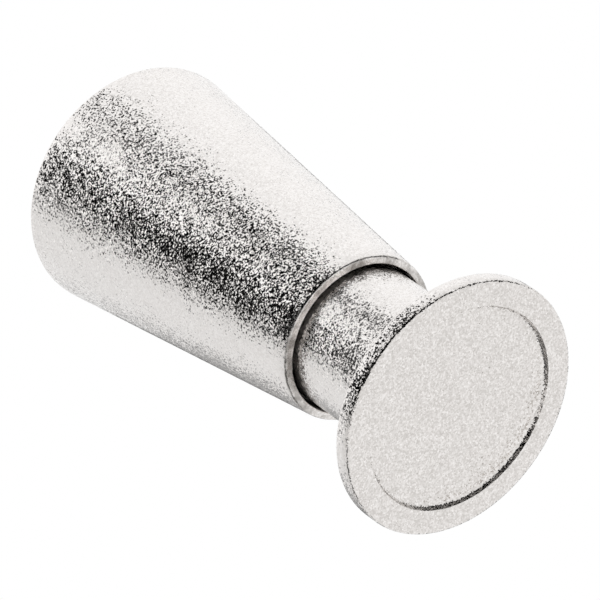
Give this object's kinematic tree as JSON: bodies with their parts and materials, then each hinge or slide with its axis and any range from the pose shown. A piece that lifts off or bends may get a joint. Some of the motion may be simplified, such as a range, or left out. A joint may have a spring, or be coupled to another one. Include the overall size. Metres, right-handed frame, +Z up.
{
  "type": "adjustable equipment leg",
  "caption": "Adjustable equipment leg: tapered bright-plated shell with a threaded mounting stud on top and a round flanged foot that screws in and out below to level.",
  "frame": {"origin": "centre of the foot's bearing face, on the leg's axis", "axes": "+Z up the leg's axis from the foot to the mounting stud; +X and +Y square to it, +X through one of the shell's six ribs"},
  "size_m": [0.0448, 0.0448, 0.1052],
  "materials": {
    "plated_casting": "satin",
    "zinc_plated_steel": "satin",
    "spring_steel": "satin",
    "nylon": "satin"
  },
  "bodies": {
    "shell": {"leg_shell": "plated_casting", "mounting_stud": "zinc_plated_steel", "thread_insert": "zinc_plated_steel", "nylon_lock_ring": "nylon"},
    "stop": {"stop_washer": "zinc_plated_steel"},
    "foot": {"foot_casting": "plated_casting", "adjusting_screw": "zinc_plated_steel", "retaining_ring": "spring_steel"}
  },
  "joints": [
    {"name": "foot_travel", "type": "slide", "parent": "shell", "child": "stop", "axis": [0, 0, 1], "range_m": [-0.003, 0.0232]},
    {"name": "foot_turn", "type": "hinge", "parent": "stop", "child": "foot", "pos_m": [0, 0, 0.042], "axis": [0, 0, 1], "range_deg": [-540, 4270]}
  ],
  "couplings": [
    {"joint": "foot_travel", "follows": "foot_turn", "m_per_rad": 0.00031096}
  ]
}
